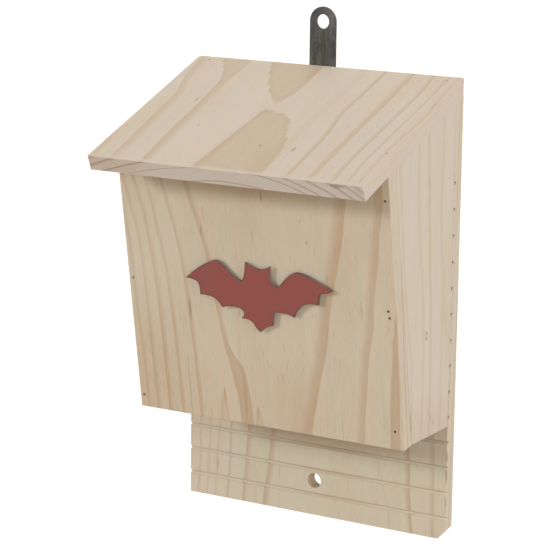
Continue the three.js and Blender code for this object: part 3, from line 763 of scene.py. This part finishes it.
def add_piece(shape, name, materials):
    """Puts a shape in the scene with the given materials, attached to the root body."""
    mesh = bpy.data.meshes.new(name)
    shape.to_mesh(mesh)
    shape.free()
    for material in materials:
        mesh.materials.append(material)
    piece = bpy.data.objects.new(name, mesh)
    bpy.context.scene.collection.objects.link(piece)
    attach(piece, "root")
    return piece


def finish_piece(shape, name, node, materials, smooth_below=SMOOTH_BELOW):
    """Adds a piece that takes the node's place."""
    for edge in shape.edges:
        edge.smooth = edge.calc_face_angle(math.pi) < math.radians(smooth_below)
    piece = add_piece(shape, name, materials)
    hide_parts(node)
    return piece


def ring_of_corners(shape, centre, right, up, radius, count):
    """Corners round a centre, the first of them on its right."""
    ring = []
    for turn in range(count):
        angle = 2 * math.pi * turn / count
        ring.append(shape.verts.new(centre + (right * math.cos(angle) + up * math.sin(angle)) * radius))
    return ring


ACROSS = Vector((1, 0, 0))
BACKWARD = Vector((0, 1, 0))
UPWARD = Vector((0, 0, 1))
roof_up = Vector((0, math.cos(ROOF_SLOPE), math.sin(ROOF_SLOPE)))
front_up = Vector((0, -math.sin(FRONT_LEAN), math.cos(FRONT_LEAN)))
front_out = ACROSS.cross(front_up)

boxes = {node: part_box(node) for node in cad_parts}
back_low, back_high = boxes["back_board"]
middle_x = (back_low.x + back_high.x) / 2
LEFT_GRAIN_SHIFT = Vector((0, 6, -35)) * MM  # the left side's board is another length of the same plank


def board_frame(node):
    """Where the board's face starts and how it lies."""
    low, high = boxes[node]
    if node == "roof_board":
        corner = Vector((middle_x, low.y, low.z + BOARD * math.cos(ROOF_SLOPE)))
        return corner, ACROSS, roof_up, -ACROSS.cross(roof_up)
    if node == "front_board":
        corner = Vector((middle_x, high.y - BOARD * math.cos(FRONT_LEAN), low.z))
        return corner, ACROSS, front_up, -front_out
    if node == "side_board_right":
        return Vector((high.x, back_low.y, low.z)), BACKWARD, UPWARD, -ACROSS
    if node == "side_board_left":
        return Vector((low.x, back_low.y, low.z)) + LEFT_GRAIN_SHIFT, BACKWARD, UPWARD, ACROSS
    return Vector((middle_x, low.y, low.z)), ACROSS, UPWARD, BACKWARD


SIDE_COLOURS = ("#D5C8B6", "#BEAB84", "#D4C4A9", "#C3B6A7")
SIDE_TREE = (-170, 70, 70)
SIDE_SURFACE = (0.035, 0.5, 0, 0, 0)

# Each board: lines, tongues and buried rings; pale places (partly painted light), stains (some painted
# shade) and small marks; colours; where the tree's middle lies; and its surface: how strongly the fibres
# show, then in mm how soft the sharp sides of its lines are, how far its tongues splinter, how far its
# front arris is worn, and how far in its saw cuts reach
BOARDS = {
    "roof_board": ((ROOF_LINES, ROOF_TONGUES, [7.2]), ([], ROOF_STAINS, ROOF_MARKS),
                   ("#D6C6B1", "#C2A884", "#D4C1A6", "#D1C4B3"), (2.5, 250, 140),
                   (0.035, 0.9, 6, 4, 0)),
    "front_board": ((FRONT_LINES, FRONT_TONGUES, []), (FRONT_PALES, FRONT_STAINS_AND_SHADE, FRONT_MARKS),
                    ("#D3C4A9", "#BC9974", "#D0BB9F", "#BCA98F"), (6, -140, -140),
                    (0.05, 1, 1.5, 0, 0)),
    "side_board_right": ((SIDE_LINES, [], []), ([], SIDE_STAINS, SIDE_MARKS),
                         SIDE_COLOURS, SIDE_TREE, SIDE_SURFACE),
    "side_board_left": ((SIDE_LINES, [], []), ([], [], []), SIDE_COLOURS, SIDE_TREE, SIDE_SURFACE),
    "back_board": ((BACK_LINES, [], [5.5]), (BACK_PALES, BACK_STAINS_AND_SHADE, BACK_MARKS),
                   ("#D3C6AC", "#B79371", "#D1BFA3", "#BFB09B"), (18, 150, 150),
                   (0.045, 0.4, 0, 0, 2.3)),
    "partition_board": ((PARTITION_LINES, [], [4]), ([], [], []),
                        ("#CDBA9A", "#B3926A", "#CBB492", "#B8A88F"), (10, 90, 90),
                        (0.07, 0.4, 0, 0, 0)),
}
EASED_EDGE = 0.5 * MM


def groove_lip(edge):
    """A level edge in the back board's face, away from its ends."""
    first, second = (v.co for v in edge.verts)
    in_face = abs(first.y - back_low.y) < TOUCH and abs(second.y - back_low.y) < TOUCH
    return in_face and abs(first.z - second.z) < TOUCH and back_low.z + MM < first.z < back_high.z - MM


def outline_edge(edge):
    """Long outer edges, without the lips of the grooves."""
    return edge.calc_length() > LONG_EDGE and not groove_lip(edge)


LIP_CUTS = 120
LIP_STRAYS = [(0.1, 1.7, 0), (0.12, 9, 7)]  # mm up or down, mm along the lip, and which row of the noise


def splinter_lips(shape):
    """Saw-cut lips: breaks them into short lengths and lets each stray a little up or down."""
    lips = [e for e in shape.edges if e.calc_length() > LONG_EDGE and groove_lip(e)]
    made = bmesh.ops.subdivide_edges(shape, edges=lips, cuts=LIP_CUTS)
    for item in made["geom_inner"]:
        if isinstance(item, bmesh.types.BMVert):
            at = item.co / MM
            for far, length, row in LIP_STRAYS:
                item.co.z += far * MM * noise.noise(Vector((at.x / length, at.z, row)))


# The clip at the back board's lower right corner is a little skewed: how far it runs in and how high it
# rises at the front and at the rear
CLIP_FRONT = (5.5 * MM, 6 * MM)
CLIP_REAR = (6.97 * MM, 7.6 * MM)
CLIP_ZONE = 9 * MM


def skew_clip(shape):
    """Turns the clipped corner's sawn face a little, so that its outline is straight from the front."""
    for vertex in shape.verts:
        if vertex.co.x > back_high.x - CLIP_ZONE and vertex.co.z < back_low.z + CLIP_ZONE:
            run, rise = CLIP_REAR if vertex.co.y > back_low.y + BOARD / 2 else CLIP_FRONT
            if vertex.co.z > back_low.z + MM:
                vertex.co.z = back_low.z + rise
            else:
                vertex.co.x = back_high.x - run


roof_low, roof_high = boxes["roof_board"]
ROOF_HALF_WIDTH = (roof_high.x - roof_low.x) / 2
ROOF_MIDDLE_Y = (roof_low.y + roof_high.y) / 2
ROUND_CORNER = 2.2 * MM  # handling has rounded the roof's rear corners, and the front ones by half
CORNER_SEGMENTS = 7
OFF_SLOPE, OFF_WIDTH = 0.5, 0.1  # how little such an edge runs up the slope, and across


def corner_edge(edge):
    """The roof's four corner edges, which run through its thickness."""
    first, second = (v.co for v in edge.verts)
    way = (second - first).normalized()
    outer = all(abs(v.co.x - middle_x) > ROOF_HALF_WIDTH - TOUCH for v in edge.verts)
    return outer and abs(way.dot(roof_up)) < OFF_SLOPE and abs(way.x) < OFF_WIDTH


def roof_outline_edge(edge):
    """The roof's long edges, and the short ones that go round its corners."""
    near_side = all(abs(v.co.x - middle_x) > ROOF_HALF_WIDTH - ROUND_CORNER for v in edge.verts)
    return outline_edge(edge) or near_side


woods = {}
for seed, (node, (growth, spots, colours, tree_middle, surface)) in enumerate(BOARDS.items(), 1):
    woods[node] = pine(f"planed_pine_{node}", (*board_frame(node), tree_middle), growth, spots,
                       colours, surface, seed)
    shape = solid_copy(node)
    wanted = outline_edge
    if node == "back_board":
        skew_clip(shape)
    if node == "roof_board":
        wanted = roof_outline_edge
        for radius, rear in ((ROUND_CORNER, True), (ROUND_CORNER / 2, False)):
            ease(shape, radius, lambda e: corner_edge(e) and (e.verts[0].co.y > ROOF_MIDDLE_Y) == rear,
                 CORNER_SEGMENTS)
    ease(shape, EASED_EDGE, wanted)
    if node == "back_board":
        splinter_lips(shape)
    finish_piece(shape, f"{node}_dressed", node, [woods[node]])

# Fibres have closed over some brads, which leaves shallow brown dents: those at the middle of each
# side, and the one at the front's upper left
DENT_RINGS = [(0, 0.4), (0.45, 0.33), (0.92, 0.1)]  # mm out from the middle and mm deep
DENT_TURNS = 16


def closed_dent(name, board, middle, right, up, out):
    """A shallow dish over a brad. Its middle lies in the board's face, which faces out."""
    shape = bmesh.new()
    (lowest,), inner, outer = [
        ring_of_corners(shape, middle - out * deep * MM, right, up, reach * MM, DENT_TURNS if reach else 1)
        for reach, deep in DENT_RINGS
    ]
    for turn in range(DENT_TURNS):
        after = (turn + 1) % DENT_TURNS
        shape.faces.new((lowest, inner[turn], inner[after]))
        shape.faces.new((inner[turn], outer[turn], outer[after], inner[after]))
    bmesh.ops.recalc_face_normals(shape, faces=shape.faces)
    if shape.faces[0].normal.dot(out) < 0:
        bmesh.ops.reverse_faces(shape, faces=shape.faces)
    for face in shape.faces:
        face.smooth = True
    add_piece(shape, name, [woods[board]])


for side, outward in (("left", -1), ("right", 1)):
    board = f"side_board_{side}"
    for place in ("upper", "lower"):
        low, high = boxes[f"partition_nail_{side}_{place}"]
        face_x = boxes[board][outward > 0].x
        closed_dent(f"closed_dent_{side}_{place}", board, Vector((face_x, *((low + high) / 2).yz)),
                    BACKWARD, UPWARD, ACROSS * outward)

low, high = boxes["front_nail_left_top"]
nail_middle = (low + high) / 2
front_corner = board_frame("front_board")[0]
face_middle = nail_middle - front_out * (nail_middle - front_corner).dot(front_out)
closed_dent("closed_dent_front_left_top", "front_board", face_middle, ACROSS, front_up, front_out)

# The bat: a painted face with a dark rim, and bare cut edges
BAT_EDGE = 0.12 * MM
DARK_RIM_WIDTH = 0.4 * MM
FACES_FRONT = 0.9  # how squarely a painted face looks out
bat = solid_copy("bat_badge")
ease(bat, BAT_EDGE, lambda e: True)
painted = [f for f in bat.faces if f.normal.dot(front_out) > FACES_FRONT]
for face in bat.faces:
    face.material_index = 1
for face in painted:
    face.material_index = 0
rim = bmesh.ops.inset_region(bat, faces=painted, thickness=DARK_RIM_WIDTH, use_even_offset=True)
for face in rim["faces"]:
    face.material_index = 2
finish_piece(bat, "bat_badge_dressed", "bat_badge", [red_lacquer, cut_steel, dark_rim_lacquer])

STRAP_EDGE = 0.2 * MM
STRAP_CORNER = math.radians(60)  # blunter rims, as those of the countersinks, stay sharp
strap = solid_copy("hanging_strap")
ease(strap, STRAP_EDGE, lambda e: e.calc_face_angle() > STRAP_CORNER)
finish_piece(strap, "hanging_strap_dressed", "hanging_strap", [strip_steel])

# Foam pads: round, and a little swollen between the bat and the board that press on them. Each ring is
# its place from the board to the bat, and its share of the radius.
foam = mounting_foam()
PAD_RINGS = [(-1, 0.93), (-0.8, 0.97), (-0.4, 0.995), (0, 1), (0.4, 0.995), (0.8, 0.97), (1, 0.93)]
PAD_HALF_THICKNESS = 0.85 * MM
PAD_TURNS = 48
PAD_SMOOTH_BELOW = 50  # degrees
for node in ("bat_pad_left", "bat_pad_right"):
    low, high = boxes[node]
    centre = (low + high) / 2
    radius = (high.x - low.x) / 2
    shape = bmesh.new()
    rings = [ring_of_corners(shape, centre + front_out * PAD_HALF_THICKNESS * place, ACROSS, front_up,
                             radius * share, PAD_TURNS) for place, share in PAD_RINGS]
    for lower, upper in zip(rings, rings[1:]):
        for turn in range(PAD_TURNS):
            after = (turn + 1) % PAD_TURNS
            side = shape.faces.new((lower[turn], lower[after], upper[after], upper[turn]))
            side.smooth = True
    shape.faces.new(rings[-1])
    shape.faces.new(rings[0][::-1])
    pad = finish_piece(shape, f"{node}_foam", node, [foam], PAD_SMOOTH_BELOW)

for node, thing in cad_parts.items():
    if "nail" in node or "screw" in node:
        thing.data.materials.clear()
        thing.data.materials.append(zinc_plate if "screw" in node else brad_steel)
